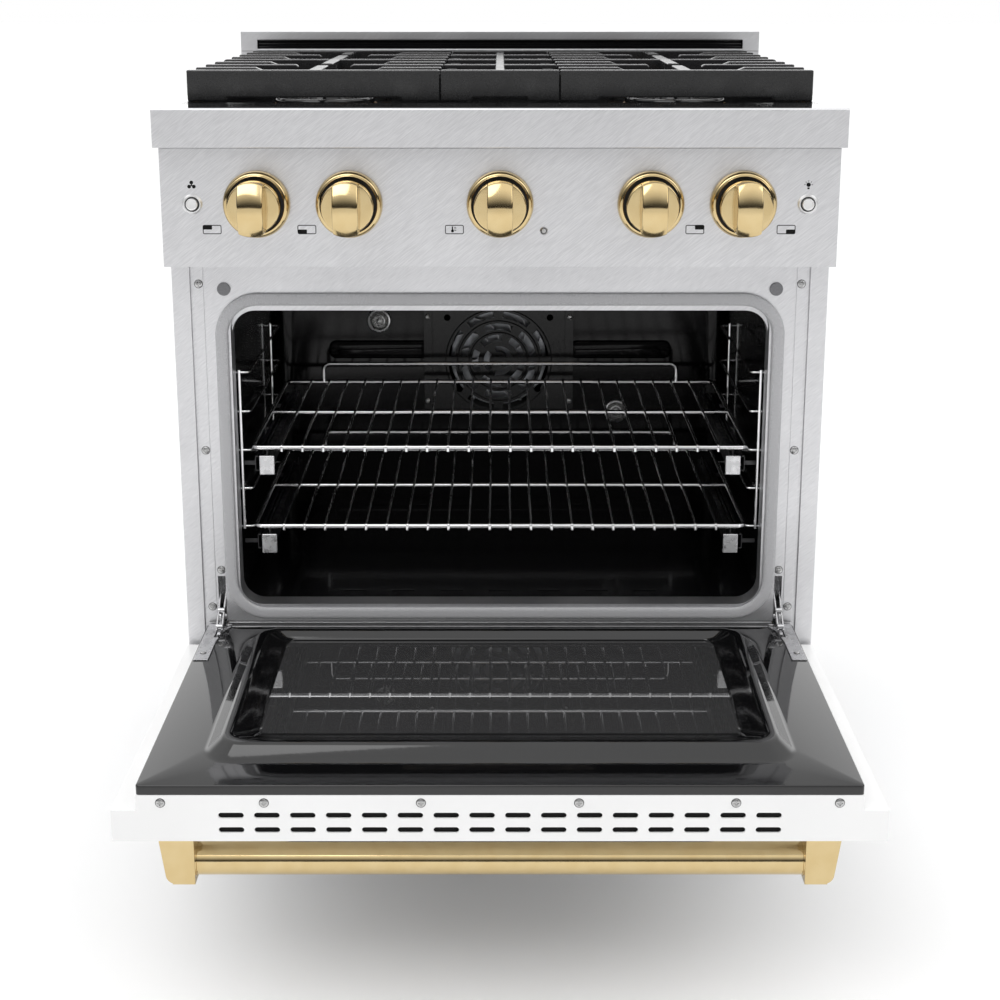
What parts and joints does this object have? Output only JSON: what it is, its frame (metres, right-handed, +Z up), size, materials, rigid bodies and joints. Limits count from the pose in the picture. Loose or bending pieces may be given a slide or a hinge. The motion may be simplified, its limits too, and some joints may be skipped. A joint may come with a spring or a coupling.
{
  "type": "freestanding gas range",
  "caption": "Freestanding gas range on legs with a gas cooktop, front knobs, wire oven racks on slides, and a drop-down oven door with a bar handle.",
  "frame": {"origin": "centre of the overall bounding box on the floor, with the oven door open", "axes": "+X to the right seen from the front, +Y towards the back, +Z up"},
  "size_m": [0.762, 1.0896, 0.976],
  "materials": {
    "stainless": "fine diagonal brushing, satin",
    "zinc_sheet": "galvanised sheet",
    "leg_steel": "satin tube",
    "oven_enamel": "gloss black porcelain enamel",
    "gasket_braid": "woven grey glass-fibre braid",
    "mineral_wool": "mineral wool",
    "burner_steel": "plain steel",
    "baffle_enamel": "black enamel",
    "motor_metal": "motor case",
    "lamp_glass": "ribbed lamp glass",
    "rack_chrome": "chromed wire",
    "slide_steel": "plated steel",
    "polished_gold": "polished champagne gold",
    "button_metal": "satin cap",
    "indicator_lens": "clear lens",
    "pipe_metal": "plated pipe",
    "spindle_steel": "turned steel",
    "porcelain_black": "gloss black porcelain",
    "burner_casting": "cast alloy",
    "burner_brass": "machined brass",
    "grate_iron": "matt porcelain-coated cast iron",
    "bumper_rubber": "grey rubber",
    "screw_steel": "plated screw",
    "gland_plastic": "black moulding",
    "door_white": "gloss white powder coat",
    "door_glass": "tinted heat-reflecting glass",
    "window_glass": "dark tempered glass",
    "fan_steel": "pressed steel"
  },
  "bodies": {
    "range_body": {"side_panel_left": "stainless", "side_panel_right": "stainless", "front_frame": "stainless", "control_panel": "stainless", "cooktop_frame": "stainless", "backguard": "stainless", "kick_plate": "stainless", "rear_panel": "zinc_sheet", "base_pan": "zinc_sheet", "legs": "leg_steel", "oven_cavity": "oven_enamel", "oven_floor": "oven_enamel", "door_gasket": "gasket_braid", "insulation": "mineral_wool", "oven_burners": "burner_steel", "fan_baffle": "baffle_enamel", "fan_motor": "motor_metal", "oven_lamps": "lamp_glass", "rack_ladders": "rack_chrome", "fixed_rails": "slide_steel", "hinge_receivers": "slide_steel", "control_bezels": "polished_gold", "indicator_lamp": "indicator_lens", "gas_manifold": "pipe_metal", "cooktop_pan": "porcelain_black", "burner_caps": "porcelain_black", "backguard_grille": "porcelain_black", "burner_bases": "burner_casting", "burner_heads": "burner_brass", "grate_left": "grate_iron", "grate_centre": "grate_iron", "grate_right": "grate_iron", "door_bumpers": "bumper_rubber", "body_screws": "screw_steel", "cord_gland": "gland_plastic"},
    "door": {"door_skin": "door_white", "door_liner": "oven_enamel", "outer_glass": "window_glass", "inner_glass": "door_glass", "handle_bar": "polished_gold", "handle_posts": "polished_gold", "hinge_arms": "slide_steel", "door_screws": "screw_steel"},
    "upper_rack": {"rack_upper": "rack_chrome"},
    "lower_rack": {"rack_lower": "rack_chrome"},
    "upper_middle_rails": {"middle_rails_upper": "slide_steel"},
    "lower_middle_rails": {"middle_rails_lower": "slide_steel"},
    "fan_button": {"fan_button": "button_metal"},
    "light_button": {"light_button": "button_metal"},
    "convection_fan": {"convection_fan": "fan_steel"},
    "spindle_left_rear": {"spindle_left_rear": "spindle_steel"},
    "knob_left_rear": {"knob_left_rear": "polished_gold"},
    "spindle_left_front": {"spindle_left_front": "spindle_steel"},
    "knob_left_front": {"knob_left_front": "polished_gold"},
    "spindle_oven": {"spindle_oven": "spindle_steel"},
    "knob_oven": {"knob_oven": "polished_gold"},
    "spindle_right_rear": {"spindle_right_rear": "spindle_steel"},
    "knob_right_rear": {"knob_right_rear": "polished_gold"},
    "spindle_right_front": {"spindle_right_front": "spindle_steel"},
    "knob_right_front": {"knob_right_front": "polished_gold"}
  },
  "joints": [
    {"name": "door_hinge", "type": "hinge", "parent": "range_body", "child": "door", "pos_m": [0, -0.1132, 0.298], "axis": [1, 0, 0], "range_deg": [-90, 0]},
    {"name": "upper_rack_slide", "type": "slide", "parent": "range_body", "child": "upper_rack", "axis": [0, -1, 0], "range_m": [0, 0.3]},
    {"name": "lower_rack_slide", "type": "slide", "parent": "range_body", "child": "lower_rack", "axis": [0, -1, 0], "range_m": [0, 0.3]},
    {"name": "upper_middle_slide", "type": "slide", "parent": "range_body", "child": "upper_middle_rails", "axis": [0, -1, 0], "range_m": [0, 0.15]},
    {"name": "lower_middle_slide", "type": "slide", "parent": "range_body", "child": "lower_middle_rails", "axis": [0, -1, 0], "range_m": [0, 0.15]},
    {"name": "left_rear_turn", "type": "hinge", "parent": "range_body", "child": "spindle_left_rear", "pos_m": [-0.271, -0.1752, 0.807], "axis": [0, -1, 0], "range_deg": [0, 220]},
    {"name": "left_rear_push", "type": "slide", "parent": "spindle_left_rear", "child": "knob_left_rear", "axis": [0, 1, 0], "range_m": [0, 0.0035], "stiffness_N_per_m": 600, "springref_m": -0.002},
    {"name": "left_front_turn", "type": "hinge", "parent": "range_body", "child": "spindle_left_front", "pos_m": [-0.168, -0.1752, 0.807], "axis": [0, -1, 0], "range_deg": [0, 220]},
    {"name": "left_front_push", "type": "slide", "parent": "spindle_left_front", "child": "knob_left_front", "axis": [0, 1, 0], "range_m": [0, 0.0035], "stiffness_N_per_m": 600, "springref_m": -0.002},
    {"name": "oven_turn", "type": "hinge", "parent": "range_body", "child": "spindle_oven", "pos_m": [0, -0.1752, 0.807], "axis": [0, -1, 0], "range_deg": [0, 300]},
    {"name": "oven_push", "type": "slide", "parent": "spindle_oven", "child": "knob_oven", "axis": [0, 1, 0], "range_m": [0, 0.0035], "stiffness_N_per_m": 600, "springref_m": -0.002},
    {"name": "right_rear_turn", "type": "hinge", "parent": "range_body", "child": "spindle_right_rear", "pos_m": [0.168, -0.1752, 0.807], "axis": [0, -1, 0], "range_deg": [0, 220]},
    {"name": "right_rear_push", "type": "slide", "parent": "spindle_right_rear", "child": "knob_right_rear", "axis": [0, 1, 0], "range_m": [0, 0.0035], "stiffness_N_per_m": 600, "springref_m": -0.002},
    {"name": "right_front_turn", "type": "hinge", "parent": "range_body", "child": "spindle_right_front", "pos_m": [0.271, -0.1752, 0.807], "axis": [0, -1, 0], "range_deg": [0, 220]},
    {"name": "right_front_push", "type": "slide", "parent": "spindle_right_front", "child": "knob_right_front", "axis": [0, 1, 0], "range_m": [0, 0.0035], "stiffness_N_per_m": 600, "springref_m": -0.002},
    {"name": "fan_button_push", "type": "slide", "parent": "range_body", "child": "fan_button", "axis": [0, 1, 0], "range_m": [0, 0.003], "stiffness_N_per_m": 400, "springref_m": -0.002},
    {"name": "light_button_push", "type": "slide", "parent": "range_body", "child": "light_button", "axis": [0, 1, 0], "range_m": [0, 0.003], "stiffness_N_per_m": 400, "springref_m": -0.002},
    {"name": "convection_fan_spin", "type": "hinge", "parent": "range_body", "child": "convection_fan", "pos_m": [-0.002, 0.2918, 0.528], "axis": [0, 1, 0], "continuous": true}
  ],
  "couplings": [
    {"joint": "upper_middle_slide", "follows": "upper_rack_slide", "ratio": 0.5},
    {"joint": "lower_middle_slide", "follows": "lower_rack_slide", "ratio": 0.5}
  ]
}
